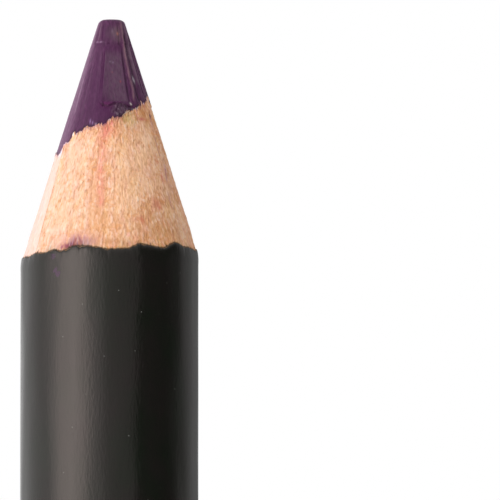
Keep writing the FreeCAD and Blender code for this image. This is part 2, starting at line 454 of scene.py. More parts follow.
# Small beads of pigment: angle, height, half-width and height in mm.
BEADS = (
    (-40, 113.64, 0.05, 0.035), (-27, 113.63, 0.06, 0.04), (-33, 113.6, 0.05, 0.02),
    (29.3, 110.03, 0.06, 0.08), (47, 110.15, 0.07, 0.07), (20, 109.92, 0.09, 0.05),
    (22, 109.58, 0.08, 0.05), (4, 109.66, 0.09, 0.05), (12, 109.75, 0.14, 0.06),
    (160, 109.9, 0.08, 0.06), (-100, 108.9, 0.08, 0.06),
)


def slice_mask(angle, z):
    """The front slice's own surface, sharp at its sides and its foot."""
    turn = turn_between(angle, 0)
    sides = smooth_step(-0.6, 0.6, turn - along(z, SLICE_LEFT))
    sides *= smooth_step(0.9, -0.9, turn - along(z, SLICE_RIGHT))
    corner = 1 - 0.7 * patch(angle, z, -12, 110.3, 0.3, 0.35)
    foot = smooth_step(SLICE_LOW - 0.04, SLICE_LOW + 0.05, z)
    return sides * corner * foot * smooth_step(SLICE_HIGH + 0.25, SLICE_HIGH - 0.5, z)


def slice_cut(angle, radius, z):
    """Depth that the blades' slices take off the core."""
    left, right = along(z, SLICE_LEFT), along(z, SLICE_RIGHT)
    slices = [((left + right) / 2, (right - left) / 2, SLICE_LOW, SLICE_HIGH)] + list(FACETS)
    depth = np.zeros(radius.shape)
    for middle, half_width, low, high in slices:
        turn = np.clip(turn_between(angle, middle), -60, 60)
        flat = radius * np.cos(np.radians(half_width)) / np.cos(np.radians(turn))
        inside = smooth_step(low - 0.03, low + 0.03, z) * smooth_step(high + 0.3, high - 0.25, z)
        depth = np.maximum(depth, np.maximum(radius - flat, 0) * inside)
    return depth


def lip_place(angle, z):
    """Height over the lip's path, in mm, and a mask that ends where the lip ends."""
    turn = turn_between(angle, 0)
    angles, heights = zip(*LIP_PATH)
    left, right = angles[0], angles[-1]
    ends = smooth_step(left - 1, left + 5, turn) * smooth_step(right + 2, right - 4, turn)
    return z - np.interp(turn, angles, heights), ends


def bell(value, middle, half_width):
    """A smooth bump of height 1 about a middle value."""
    return np.exp(-((value - middle) / half_width) ** 2)


def crumb_mask(angle, z):
    """1 on the crumb below the slice."""
    return smooth_step(0.2, 0.6, patch(angle, z, *CRUMB))


def back_fade(angle):
    """1 at the crayon's left, fading out towards its back."""
    return smooth_step(-160, -110, turn_between(angle, 0))


def step_rise(angle, z):
    """The tip's rise over the core below it, on the side in view."""
    turn = turn_between(angle, 0)
    ragged = STEP_Z + 0.05 * round_noise(angle, 0.9, 25) + 0.02 * round_noise(angle, 0.4, 26)
    side = smooth_step(-80, -45, turn) * smooth_step(95, 40, turn)
    return STEP_RISE * smooth_step(-0.08, 0.07, z - ragged) * side


def core_relief(angle, radius, z):
    """Height in mm of the core's surface over the ideal cut."""
    points = place(angle, radius, z)
    crumb = crumb_mask(angle, z)
    height = 0.007 * long_noise(points, 0.13, 3, 21) + 0.01 * long_noise(points, 0.4, 4, 22)
    height += 0.003 * perlin(points, 0.08, 23) + step_rise(angle, z)
    height += crumb * (0.04 + 0.08 * long_noise(points, 0.1, 0.22, 24))
    height -= SIDE_WEAR * smooth_step(-25, -75, turn_between(angle, 0)) * back_fade(angle)
    for rise, half_width, path in SCORES:
        height += rise * stroke(angle, z, path, half_width) * (1 - crumb)
    for middle, level, half_width, rise in BEADS:
        height += rise * patch(angle, z, middle, level, half_width, half_width)
    up, ends = lip_place(angle, z)
    height += ends * 0.045 * (bell(up, 0.03, 0.08) - bell(up, -0.1, 0.07))
    return height - slice_cut(angle, radius, z) * (1 - 0.6 * crumb)


def core_stain(angle, radius, z):
    """Everything that tints the core, painted sheen, highlights and shade included, as colour and cover.
    """
    points = place(angle, radius, z)
    crumb = crumb_mask(angle, z)
    blotch = np.clip(0.85 + 0.5 * long_noise(points, 0.1, 0.5, 28), 0, 1.2)
    streaks = np.clip(0.9 + 0.6 * long_noise(points, 0.07, 1.5, 29), 0, 1.2)
    stain = np.zeros(angle.shape + (4,))
    # Painted sheen: the core's lit left side is painted a lighter lilac, fading out towards the back.
    left = smooth_step(-44, -64, turn_between(angle, 0)) * back_fade(angle)
    lay_over(stain, PAINTED_LILAC_SHEEN, 0.36 * left * streaks)
    lay_over(stain, PALE_BLOOM, 0.62 * slice_mask(angle, z) * streaks)
    # Painted shade: a dark line along the foot of the core, where it dives under the wood.
    foot = smooth_step(0.24, 0.02, z - core_edge(angle))
    lay_over(stain, PAINTED_SHADE_PURPLE, 0.75 * foot * smooth_step(-0.6, 0.2, round_noise(angle, 0.5, 27)))
    lay_lines(stain, angle, z, CORE_LINES, blotch)
    lay_over(stain, CRUMB_DARK, 0.75 * crumb * blotch)
    # Painted highlights on the crumb's lumps, scattered by noise.
    pale = smooth_step(0.15, 0.5, long_noise(points, 0.1, 0.2, 30))
    lay_over(stain, CRUMB_HIGHLIGHT, 0.7 * crumb * pale)
    lay_marks(stain, angle, z, CORE_MARKS, blotch)
    up, ends = lip_place(angle, z)
    lay_over(stain, LIP_SHADE, 0.65 * ends * bell(up, -0.07, 0.07) * (1 - 0.5 * crumb))
    return stain


# ---- relief of the wood

# How far a chip in the lacquer's edge bends the wood above it, and how far the wood lies inside
# the ideal cut, in mm.
CHIP_REACH = 1.3
WOOD_SINK = 0.045

# Growth rings: the direction of the tree's middle and the ring spacing in mm.
PITH_ANGLE = 59.0
RING_SPACING = 0.95
RING_START = 1.25


def growth(points):
    """Growth tone, 0 to 1: it rises slowly through a ring and drops sharply at its end."""
    wobble = 0.30 * long_noise(points, 1.5, 2.6, 37) + 0.10 * long_noise(points, 0.5, 1.2, 38)
    depth = points[..., :2] @ heading(PITH_ANGLE) + wobble - RING_START
    share = (depth / RING_SPACING) % 1.0
    return share * smooth_step(1.0, 0.9, share)


def chatter_lines(points):
    """Short curved lines across the grain, where the blade chattered."""
    line = np.abs(long_noise(points, 0.7, 0.32, 34))
    return smooth_step(0.13, 0.0, line) * smooth_step(-0.2, 0.2, long_noise(points, 1.1, 0.8, 35))


def pores(points):
    """Small dark dashes along the grain."""
    edge, tone, _ = cells(points, (0.13, 0.13, 0.5), 39)
    return smooth_step(0.8, 0.9, tone) * smooth_step(0.15, 0.5, edge)


def wood_relief(angle, radius, z, smoothness):
    """Height in mm of the wood over the ideal cut, and its tone, 0 to 1, with painted shade in the
    grooves and painted highlights on the raised fibres.
    """
    points = place(angle, radius, z)
    wander = 0.10 * long_noise(points, 0.7, 1.2, 31)[..., None]
    edge, fibre, place_along = cells(points + wander * (1, 1, 0), (0.13, 0.13, 0.70), 32)
    fine = long_noise(points, 0.07, 0.5, 33)
    swell = long_noise(points, 1.3, 2.6, 36)
    torn = 0.028 * (fibre - 0.5) - 0.014 * place_along - 0.012 * smooth_step(0.2, 0.0, edge)
    torn += 0.008 * fine - 0.016 * chatter_lines(points) - 0.014 * pores(points)
    frayed = smooth_step(1.3, 0.1, core_edge(angle) - z)
    gap, splinter, slant = cells(points, (0.17, 0.17, 1.3), 47)
    torn += frayed * ((splinter - 0.4) * 0.05 - slant * 0.03 - smooth_step(0.15, 0.0, gap) * 0.02)
    above_lacquer = z - lacquer_edge(angle)
    bend = lacquer_rise(angle) * CONE_TAN * smooth_step(CHIP_REACH, 0, above_lacquer)
    bend -= WOOD_SINK * smooth_step(0, 0.6, above_lacquer) * smooth_step(0, 0.3, core_edge(angle) - z)
    # The tone follows the relief. Over the fibres' own random tone, it is darker in the grooves between
    # fibres and splinters, where it paints shade, and lighter on the raised ones, where it paints
    # highlights.
    tone = 0.5 + 0.38 * (fibre - 0.5) - 0.16 * smooth_step(0.25, 0.0, edge) + 0.20 * fine
    tone += frayed * (0.35 * (splinter - 0.5) - 0.3 * smooth_step(0.12, 0.0, gap))
    tone -= 0.26 * (growth(points) - 0.4)
    return torn * (1 - smoothness) + swell * 0.012 + bend, np.clip(tone, 0, 1)


# ---- marks on the wood

# Pigment dragged down the wood by the sharpener: strength, half-width in mm, colour and path.
DRAG = ((-7, 104.2), (-7.5, 105.1), (-8.7, 105.9), (-8.3, 106.8), (-7.4, 107.7), (-4.5, 108.55), (0, 109))
SMEARS = ((0.62, 0.22, "e88e80", DRAG),)

# Light and dark lines of grain, in the same form.
GRAIN_LINES = (
    (0.6, 0.06, "c88c5c", ((-13.9, 102.2), (-14.2, 102.9), (-14.6, 103.6), (-14.6, 104.5))),
    (0.5, 0.13, "fcdcca", ((-17.4, 102.3), (-18, 103), (-18, 104.6))),
    (0.4, 0.05, "cc9462", ((-3.2, 101.7), (-3.4, 102.5), (-4.5, 103.7))),
    (0.75, 0.045, "ead098", ((36.7, 101.85), (35.8, 102.27), (34.9, 102.7))),
    (0.6, 0.05, "e8caa0", ((54.5, 102.45), (52, 102.66), (53.9, 103.15), (53, 103.6), (53.4, 103.9))),
    (0.6, 0.045, "eccca0", ((54, 104.5), (52.5, 104.95))),
    (0.6, 0.05, "f8d6b2", ((31.5, 102.65), (29.9, 103.1))),
    (0.6, 0.045, "f8d6b2", ((33.8, 102.6), (33.6, 102.95))),
    (0.6, 0.05, "fcdabc", ((10, 102.8), (9.6, 103), (10.5, 103.3))),
    (0.5, 0.045, "f4dab2", ((41, 101.9), (44.5, 102.15), (47.8, 102.5))),
    (0.45, 0.05, "e8cca6", ((62, 102.3), (60, 103), (60, 103.9), (62, 105))),
    (0.4, 0.05, "b47a4c", ((49, 102.2), (50, 103), (49, 103.6))),
    (0.7, 0.08, "ac6e6c", ((60.7, 107.2), (61, 107.75), (61.2, 108.4))),
    (1, 0.08, "a86a78", ((60.8, 105.6), (62, 106), (65.5, 106.6))),
    (0.8, 0.06, "ac7078", ((57, 104.3), (57.4, 105))),
    (0.9, 0.05, "be7070", ((37.2, 109.2), (38, 109.8))),
    (0.35, 0.05, "fae6c4", ((150, 102), (151, 103.4), (149, 105))),
    (0.35, 0.05, "c48854", ((176, 102), (177, 103.4), (176, 105.4))),
    (0.35, 0.05, "fae6c4", ((-120, 101.9), (-121, 103.4), (-119, 105))),
)

# Bare fibres that stand out of the stains beside the core and the lacquer, in the same form.
BARE_FIBRES = (
    (0.8, 0.05, "cec6ba", ((17, 109.42), (21, 109.56), (26, 109.66), (33, 109.74), (41, 109.88))),
    (0.6, 0.03, "d6cace", ((38.6, 109.7), (40.6, 110))),
    (0.5, 0.03, "c4a8ba", ((-27.8, 101.8), (-27.2, 102.3))),
    (0.55, 0.03, "c4a8ba", ((-25.8, 101.8), (-25.4, 102.45))),
    (0.4, 0.03, "c4a8ba", ((-21.6, 101.8), (-22.2, 102.3))),
    (0.5, 0.03, "d6bec4", ((-17.6, 101.8), (-17.9, 102.25))),
    (0.4, 0.03, "d6bec4", ((-14.6, 101.8), (-14.8, 102.2))),
    (0.7, 0.036, "d6dcd2", ((-44.2, 101.65), (-44.1, 102.2))),
)

# Soft marks on the wood, in the form of those on the core.
WOOD_MARKS = (
    (-46, 104.4, 2, 4, 0.7, "f0ccb8"), (-48, 107.6, 0.6, 0.8, 0.4, "f4d0be"),
    (-9.5, 103.3, 0.42, 1.2, 0.75, "dca074"), (12, 104.6, 0.9, 2.2, 0.6, "fccea6"),
    (8, 107.4, 0.8, 1, 0.4, "f6c89c"), (47, 108, 0.6, 0.9, 0.9, "ffd4b2"),
    (28, 106.4, 1, 1.4, 0.6, "fccea8"), (38, 102.8, 1.5, 0.9, 0.65, "c88e5a"),
    (54, 102.9, 0.8, 0.9, 0.4, "be8654"), (66, 102.9, 0.7, 1.1, 0.65, "e8c6ac"),
    (58, 105.3, 0.8, 1, 0.45, "eec6a8"), (33, 103.5, 0.55, 0.4, 0.55, "c48652"),
    (37, 105.3, 0.5, 0.5, 0.4, "fccea8"), (35, 107.1, 0.4, 0.5, 0.6, "ffd0a6"),
    (18, 108.45, 0.5, 0.35, 0.4, "d49868"), (-39, 103.7, 0.45, 0.6, 0.5, "eab48a"),
    (-43, 107.2, 0.35, 0.5, 0.45, "eab692"), (-13, 104.9, 0.35, 1.3, 0.4, "dc9e6e"),
    # The two dark marks at 0.7 and 11.3 degrees, just above the lacquer's edge, are painted shade.
    (0.7, 102.1, 0.4, 0.22, 0.7, "be8050"), (11.3, 102, 0.4, 0.22, 0.8, "a0704a"),
    (0, 103.1, 0.6, 0.6, 0.25, "e8a870"), (23, 109.2, 0.48, 0.42, 1, "be9c64"),
    (27.3, 109.52, 0.1, 0.1, 0.7, "e2d2ae"), (25, 109.22, 0.08, 0.07, 0.6, "ead0ac"),
    (8, 109.22, 0.36, 0.18, 0.65, "b88072"), (50.5, 109.7, 0.4, 0.6, 1.1, "cc8e5e", -0.1),
    (46, 109.22, 0.34, 0.09, 1, "c87666"), (48.4, 110.3, 0.07, 0.26, 1.3, "d6c4ce"),
    (57, 110.1, 0.12, 0.4, 0.6, "ce806c"), (65.5, 109.46, 0.09, 0.14, 1.3, "4c2248"),
    (64.5, 109, 0.1, 0.34, 0.6, "a6787c"), (46.6, 107.68, 0.08, 0.12, 0.7, "d88a4e"),
    (53.2, 106.95, 0.16, 0.3, 0.8, "ce7a58"), (41.6, 106.6, 0.16, 0.14, 0.5, "d4865c"),
    (66, 106.4, 0.3, 1.2, 0.5, "aa7870", 0.1), (55, 105.85, 0.22, 0.28, 0.8, "d07c5e"),
    (42.3, 104.18, 0.13, 0.16, 1.1, "c8664a"), (40, 104.4, 0.35, 0.35, 0.6, "d08264"),
    (23.8, 103.36, 0.15, 0.19, 1.1, "ca6c50"), (20, 103.45, 0.3, 0.25, 0.5, "d68a6e"),
    (60.6, 104.16, 0.04, 0.13, 0.8, "865c48"), (57.2, 103.22, 0.04, 0.13, 0.8, "865c48"),
    (28.1, 102.02, 0.05, 0.06, 0.9, "46323c"), (40.9, 102.3, 0.06, 0.06, 0.7, "96623e"),
    (43, 102.6, 0.18, 0.1, 0.5, "ce8a4c"), (13, 102.5, 0.12, 0.12, 0.55, "f09e96"),
    (13.3, 102, 0.1, 0.16, 0.6, "ce908e"), (-21, 102.25, 1, 0.36, 0.8, "ce8e8c"),
    (-31, 101.85, 0.4, 0.2, 1.3, "a0586a"), (-15, 102.05, 0.46, 0.3, 1, "ba8c86", 0.5),
    (-24, 101.88, 0.48, 0.38, 1.6, "702c3e"), (-23, 102.25, 0.16, 0.22, 0.7, "925050"),
    (-43, 101.7, 0.4, 0.32, 0.6, "967a68"), (-74, 101.6, 0.2, 0.16, 0.6, "ceb0b4"),
    (-44.7, 103.45, 0.06, 0.06, 0.7, "b87a52"), (-40.7, 103.6, 0.05, 0.06, 0.6, "b48a60"),
    (-30, 104.55, 0.05, 0.07, 0.6, "ce966e"), (-27.4, 104.05, 0.05, 0.12, 0.5, "ce967c"),
    (-65, 107.42, 0.14, 0.24, 1.6, "dedcee"), (-48.5, 108.35, 0.06, 0.16, 1.4, "faece2"),
    (-32.5, 108.75, 0.07, 0.14, 1.4, "fae8e0"), (-38, 108.55, 0.12, 0.09, 1, "f6e2de"),
    (-30, 108.62, 0.4, 0.1, 0.5, "d8babe"), (-19, 108.78, 0.22, 0.12, 0.7, "c48496"),
    (1, 108.95, 0.26, 0.16, 0.6, "ce6e78"), (1, 108.5, 0.4, 0.34, 0.6, "e68678"),
    (-14, 108, 0.2, 0.4, 0.4, "eea296"), (-32, 107, 0.5, 0.8, 0.35, "fad8b8"),
    (135, 107.6, 0.2, 1.2, 0.5, "a86068", 0.1), (168, 109.1, 0.35, 0.4, 0.5, "be786e"),
    (-140, 106.4, 0.16, 1.6, 0.4, "bc787c", -0.05), (-165, 102.2, 0.5, 0.3, 0.6, "8c4a5c"),
    (110, 102.1, 0.4, 0.3, 0.5, "846058"),
)

# Colours of the wood's pores and chatter, and of what rubs off or soaks in at its two edges. The brown
# band just above the lacquer is both soaked-in lacquer and painted shade along the join.
PORE = "b0703e"
CHATTER = "de9454"
PIGMENT_RUB = "70345c"
PIGMENT_DUST = "d6bed2"
HALO_SOAK_AND_SHADE = "967646"
LACQUER_SOAK = "1e1812"


def wood_stain(angle, z, smoothness):
    """Everything rubbed on or soaked into the wood, with painted shade along the lacquer's edge, as
    colour and cover.
    """
    points = place(angle, cone_radius(z), z)
    blotch = 0.75 + 0.75 * long_noise(points, 0.10, 0.45, 41) + 0.3 * perlin(points, 0.5, 42)
    blotch = np.clip(blotch, 0, 1.3)
    stain = np.zeros(angle.shape + (4,))
    lay_over(stain, CHATTER, 0.75 * chatter_lines(points) * (1 - smoothness))
    lay_over(stain, PORE, 0.5 * pores(points) * (1 - 0.6 * smoothness))
    lay_lines(stain, angle, z, GRAIN_LINES, blotch)
    lay_marks(stain, angle, z, WOOD_MARKS, blotch)
    lay_lines(stain, angle, z, SMEARS, blotch)
    below_core = core_edge(angle) - z
    streak = long_noise(points, 0.09, 0.5, 43)
    rub = np.maximum(0.16 + 0.3 * streak, 0.02)
    lay_over(stain, PIGMENT_RUB, 0.75 * smooth_step(rub, 0.0, below_core) * blotch)
    dust = smooth_step(0.15, 0.5, round_noise(angle, 0.35, 45)) * smooth_step(0.16, 0.02, below_core)
    lay_over(stain, PIGMENT_DUST, 0.75 * dust)
    lay_lines(stain, angle, z, BARE_FIBRES)
    over_lacquer = z - lacquer_edge(angle)
    wick = 0.05 + 0.45 * np.maximum(round_noise(angle, 0.12, 44) * round_noise(angle, 0.8, 48) - 0.12, 0)
    # A brown band above the lacquer's edge: soaked-in lacquer and painted shade along the join.
    halo = 0.16 + 0.5 * np.maximum(round_noise(angle, 0.4, 46), 0)
    lay_over(stain, HALO_SOAK_AND_SHADE, 0.5 * smooth_step(halo, 0.0, over_lacquer) * blotch)
    lay_over(stain, LACQUER_SOAK, 0.92 * smooth_step(wick + 0.05, wick - 0.03, over_lacquer))
    return stain


# ---- materials

class Nodes:
    """A tree of nodes built up with short calls; a term is a plain value or a node's output."""

    def __init__(self, tree):
        self.nodes, self.links = tree.nodes, tree.links

    def put(self, term, socket):
        """Links an output to a socket, or sets the socket to a plain value."""
        if isinstance(term, bpy.types.NodeSocket):
            self.links.new(term, socket)
        else:
            socket.default_value = term

    def add(self, kind, output, terms, **settings):
        """A node with its settings made and its sockets filled; returns one of its outputs."""
        node = self.nodes.new("ShaderNode" + kind)
        for label, setting in settings.items():
            setattr(node, label, setting)
        for socket, term in terms.items():
            self.put(term, node.inputs[socket])
        return node.outputs[output]

    def math(self, operation, first, second=0.0):
        """One arithmetic step."""
        return self.add("Math", "Value", {0: first, 1: second}, operation=operation)

    def rescale(self, value, low, high, to_low=0.0, to_high=1.0, **settings):
        """A value moved from one range to another and held inside it."""
        terms = {"Value": value, "From Min": low, "From Max": high, "To Min": to_low, "To Max": to_high}
        return self.add("MapRange", "Result", terms, **settings)

    def ramp(self, value, levels, interpolation="LINEAR"):
        """A colour for each level of a value, from pairs of level and colour."""
        output = self.add("ValToRGB", "Color", {"Fac": value})
        ramp = output.node.color_ramp
        ramp.interpolation = interpolation
        while len(ramp.elements) < len(levels):
            ramp.elements.new(0.5)
        for element, (level, colour) in zip(ramp.elements, levels):
            element.position = level
            element.color = colour
        return output

    def mix(self, share, first, second, blend="MIX"):
        """Two colours mixed."""
        # The Mix node names its sockets alike for every kind of data; 6, 7 and 2 are the colours'.
        return self.add("Mix", 2, {0: share, 6: first, 7: second}, data_type="RGBA", blend_type=blend)

    def choose(self, ray, usual, other):
        """One shader, or another for one kind of ray."""
        return self.add("MixShader", 0, {0: self.add("LightPath", ray, {}), 1: usual, 2: other})


class Shader(Nodes):
    """A material round a Principled shader."""

    def __init__(self, name):
        self.material = bpy.data.materials.new(name)
        self.material.use_nodes = True
        super().__init__(self.material.node_tree)
        self.surface = self.nodes["Principled BSDF"]
        self.place = self.add("TexCoord", "Object", {})

    def noise(self, across, along_axis, detail=3.0, roughness=0.55, distortion=0.0):
        """Noise with a number of cells per mm across the crayon and along it."""
        scale = (across / MM, across / MM, along_axis / MM)
        place = self.add("Mapping", "Vector", {"Vector": self.place, "Scale": scale})
        terms = {"Scale": 1.0, "Detail": detail, "Roughness": roughness, "Distortion": distortion}
        return self.add("TexNoise", "Fac", {"Vector": place, **terms})

    def attribute(self, name, output="Fac"):
        """A value stored on the mesh."""
        return self.add("Attribute", output, {}, attribute_name=name)

    def stained(self, colour):
        """A colour with the mesh's stain over it."""
        bare = self.mix(self.attribute("stain", "Alpha"), colour, (0, 0, 0, 1))
        return self.mix(1.0, bare, self.attribute("stain", "Color"), blend="ADD")

    def near(self, spot, radius_mm, ragged):
        """1 round a spot on the object, fading out at a radius; ragged noise frays its rim."""
        offset = self.add("VectorMath", "Value", {0: self.place, 1: spot}, operation="DISTANCE")
        away = self.math("MULTIPLY", offset, 1 / (radius_mm * MM))
        return self.rescale(self.math("ADD", away, ragged), 1.0, 0.5)

    def specks(self, per_mm, radius_mm):
        """Small round dots, scattered."""
        distance = self.add("TexVoronoi", "Distance", {"Vector": self.place, "Scale": per_mm / MM})
        return self.rescale(distance, radius_mm * per_mm, radius_mm * per_mm / 2)

    def bump(self, height, depth_mm, strength=1.0):
        """Bumps the surface by a height of 0 to 1."""
        terms = {"Height": height, "Distance": depth_mm * MM, "Strength": strength}
        self.put(self.add("Bump", "Normal", terms), self.surface.inputs["Normal"])

    def set(self, **terms):
        """Sets or links the surface's sockets and returns the material."""
        for label, term in terms.items():
            self.put(term, self.surface.inputs[label.replace("_", " ")])
        return self.material


def stops(colours):
    """A ramp's stops, from a dictionary of level and hex digits."""
    return [(level, srgb(digits)) for level, digits in colours.items()]


def wood_material(name, golden, pink):
    """Cut cedar-like wood: fibres and rings tell its tone, together with the painted shade and highlights
    of the fibres' relief, and drifts of hue lie along the grain.
    """
    shader = Shader(name)
    fine = shader.rescale(shader.noise(8, 2.6, detail=4.0, roughness=0.6), 0.3, 0.7, -0.26, 0.26)
    tone = shader.math("ADD", shader.attribute("tone"), fine)
    hue = shader.rescale(shader.noise(2.4, 0.6, detail=4.0, roughness=0.7, distortion=0.3), 0.38, 0.62)
    colour = shader.mix(hue, shader.ramp(tone, stops(golden)), shader.ramp(tone, stops(pink)))
    olive = shader.rescale(shader.noise(1.1, 0.5, distortion=0.4), 0.55, 0.8, 0.0, 0.3)
    colour = shader.mix(olive, colour, srgb("deb47a"))
    shader.bump(shader.noise(14, 3.2), 0.014, 0.5)
    return shader.set(Base_Color=shader.stained(colour), Roughness=0.7, Specular_IOR_Level=0.25)


def pigment_material():
    """Soft waxy pigment: fine streaks down the core and a satin bloom."""
    shader = Shader("pigment")
    streaks = shader.rescale(shader.noise(8, 0.4, detail=4.0, roughness=0.65), 0.3, 0.7)
    clouds = shader.noise(1.1, 0.35)
    colour = shader.ramp(streaks, stops({0: "3d1538", 0.5: "4b1e45", 1: "5e2e56"}))
    colour = shader.mix(shader.rescale(clouds, 0.45, 0.75, 0.0, 0.3), colour, srgb("502e4a"))
    shader.bump(shader.noise(16, 2.0, detail=4.0), 0.012, 0.5)
    return shader.set(
        Base_Color=shader.stained(colour), Roughness=shader.rescale(clouds, 0.3, 0.7, 0.42, 0.55),
        Specular_IOR_Level=0.22, Sheen_Weight=0.3, Sheen_Roughness=0.3, Sheen_Tint=srgb("e8c4e2"),
    )


# Smears of pigment on the lacquer: angle, height and half-width in mm.
LACQUER_SMEARS = (
    (-36, 100.5, 0.2), (-34, 100.35, 0.16), (-38, 101.35, 0.18), (148, 97.6, 0.22), (151, 97.4, 0.16),
)

# The lacquer's shine is a little warm.
LACQUER_SHEEN = (1.0, 0.89, 0.87, 1.0)


def lacquer_material():
    """Satin black lacquer: the grain below shows faintly, with dust and a few smears of pigment."""
    shader = Shader("black_lacquer")
    drift = shader.rescale(shader.noise(0.5, 0.3), 0.35, 0.65)
    tint = shader.mix(drift, srgb("020d02"), srgb("0d0b08"))
    ragged = shader.rescale(shader.noise(6, 6, detail=4.0, roughness=0.7), 0.35, 0.65, -0.5, 0.5)
    smeared = 0.0
    for angle, z, radius in LACQUER_SMEARS:
        spot = (*(heading(angle) * BARREL_R * MM), z * MM)
        smeared = shader.math("MAXIMUM", shader.near(spot, radius, ragged), smeared)
    tint = shader.mix(smeared, tint, srgb("321436"))
    tint = shader.mix(shader.specks(1.0, 0.045), tint, srgb("5c5e5a"))
    handled = shader.rescale(shader.noise(1.6, 0.8, detail=4.0, roughness=0.6), 0.35, 0.65, 0.0, 0.08)
    roughness = shader.math("ADD", shader.math("MULTIPLY", smeared, 0.2), 0.11)
    grain = shader.math("MULTIPLY", shader.noise(9, 2.2, detail=2.0), 0.075)
    shader.bump(shader.math("ADD", shader.noise(0.45, 0.12, detail=1.0), grain), 0.12)
    roughness = shader.math("ADD", roughness, handled)
    return shader.set(Base_Color=tint, Roughness=roughness, Specular_Tint=LACQUER_SHEEN)


def dip_material():
    """Glossy dipped colour to match the core."""
    shader = Shader("dip")
    clouds = shader.rescale(shader.noise(0.8, 0.5), 0.3, 0.7)
    colour = shader.mix(clouds, srgb("381235"), srgb("42183e"))
    shader.bump(shader.noise(1.2, 1.2, detail=2.0), 0.006, 0.4)
    return shader.set(Base_Color=colour, Roughness=0.16, Coat_Weight=0.3, Coat_Roughness=0.06)


def film_material(name, low, high):
    """A thin film seen only at its edge, mottled between two colours."""
    shader = Shader(name)
    mottled = shader.rescale(shader.noise(9, 4), 0.3, 0.7)
    return shader.set(Base_Color=shader.mix(mottled, srgb(low), srgb(high)), Roughness=0.6)


WOOD = wood_material(
    "wood", {0.1: "c28852", 0.4: "e6af7d", 0.65: "f0c69f", 0.95: "f9ddc4"},
    {0.1: "c28062", 0.4: "e4a88b", 0.65: "edbea7", 0.95: "f7d8cc"},
)
PALE_WOOD = wood_material(
    "pale_wood", {0.1: "e7c3b0", 0.5: "efcfc2", 0.95: "f6ddd4"},
    {0.1: "e5bdb4", 0.5: "eecbc5", 0.95: "f6dad7"},
)
PIGMENT = pigment_material()
LACQUER = lacquer_material()
DIP = dip_material()
GLUE_FILM = film_material("glue", "c48054", "e2ac84")
PRIMER = film_material("primer", "342616", "78562e")


# ---- pieces

# How finely the pieces are divided.
CORE_COLUMNS = 440
CORE_ROWS = 160
WOOD_ROWS = 170
FRONT_COLUMNS = 440
REAR_COLUMNS = 390
GLUE_COLUMNS = 4

# Rings below the torn edge, where the core dives under the wood: how far down, and how far inside
# the cut, in mm. The wood's bore comes up in the same way.
CORE_TUCKS = ((0.03, 0.05), (0.45, 0.07), (1, 0.07))
BORE_TUCKS = ((1, 0.05), (0.45, 0.05), (0.02, 0.04))

# How much the blunt tip is domed, in mm.
TIP_DOME = 0.03


def columns_round(count):
    """Evenly spaced angles all the way round."""
    return np.arange(count) * 360.0 / count


def close_with_poles(rings, top, bottom):
    """Points and faces of stacked rings that end in a point above and below."""
    rows, columns = rings.shape[:2]
    points = np.concatenate([rings.reshape(-1, 3), [top, bottom]])
    faces = grid_faces(rows, columns, False, True)
    top_index, bottom_index, last = rows * columns, rows * columns + 1, (rows - 1) * columns
    for column in range(columns):
        right = (column + 1) % columns
        faces.append([top_index, column, right])
        faces.append([bottom_index, last + right, last + column])
    return points, faces


def tip_rows():
    """Radii and heights of the blunted tip, from near its middle out to the cone."""
    half_angle = math.atan(CONE_TAN)
    flat = TIP_R - TIP_ROUND * math.tan(math.radians(45) - half_angle / 2)
    rows = [(flat * share, TIP_Z - TIP_DOME * share ** 2) for share in np.linspace(0.12, 0.9, 7)]
    for turn in np.linspace(math.radians(88), half_angle, 10):
        drop = TIP_DOME * smooth_step(half_angle, math.radians(90), turn)
        drop += TIP_ROUND * (1 - math.sin(turn))
        rows.append((flat + TIP_ROUND * math.cos(turn), TIP_Z - drop))
    return rows


def make_core():
    """The pigment core, which dives under the wood's torn edge and runs on down the bore."""
    angle = columns_round(CORE_COLUMNS)
    edge = core_edge(angle)
    tip = np.array(tip_rows())
    radius = np.repeat(tip[:, :1], angle.size, axis=1)
    z = np.repeat(tip[:, 1:], angle.size, axis=1)
    down = tip[-1, 1] + (edge - tip[-1, 1]) * np.linspace(0, 1, CORE_ROWS)[1:, None]
    radius, z = np.concatenate([radius, cone_radius(down)]), np.concatenate([z, down])
    full = np.broadcast_to(angle, z.shape)
    height, stain = core_relief(full, radius, z), core_stain(full, radius, z)
    rings = [place(angle, radius + height * smooth_step(0.0, TIP_R, radius), z)]
    inside = reach(angle, CORE_CENTRE, CORE_R)
    for drop, sink in CORE_TUCKS:
        tucked = edge - drop
        rings.append(place(angle, np.minimum(inside, cone_radius(tucked) - sink), tucked)[None])
    rings.append(place(angle, inside, BLANK_Z)[None])
    rings = np.concatenate(rings)
    hidden = np.repeat(stain[-1:], len(rings) - len(stain), axis=0)
    stain = np.concatenate([stain, hidden]).reshape(-1, 4)
    points, faces = close_with_poles(rings, (*CONE_AXIS, TIP_Z), (*CORE_CENTRE, BLANK_Z))
    stain = np.concatenate([stain, np.zeros((2, 4))])
    return new_piece("core", points, faces, "pigment_core", PIGMENT, {"stain": stain})


JOINT_NORMAL = -heading(JOINT_ANGLE)
JOINT_OFFSET = JOINT_NORMAL @ (CONE_AXIS - CORE_CENTRE)
FRONT_MIDDLE, REAR_MIDDLE = JOINT_ANGLE, JOINT_ANGLE + 180


def joint_turn(radius_at, middle, side):
    """Angle at which a slat meets the joint; middle is the slat's, and side -1 or 1 its end."""
    offset = GLUE / 2 + JOINT_OFFSET * (1 if middle == FRONT_MIDDLE else -1)
    turn = np.array(middle + side * 90.0)
    for _ in range(8):
        turn = middle + side * np.degrees(np.arccos(offset / radius_at(turn)))
    return turn


def span(left, right):
    """A function from radius to two angles, each given by a slat's middle and which of its ends."""
    return lambda radius_at: (joint_turn(radius_at, *left), joint_turn(radius_at, *right))


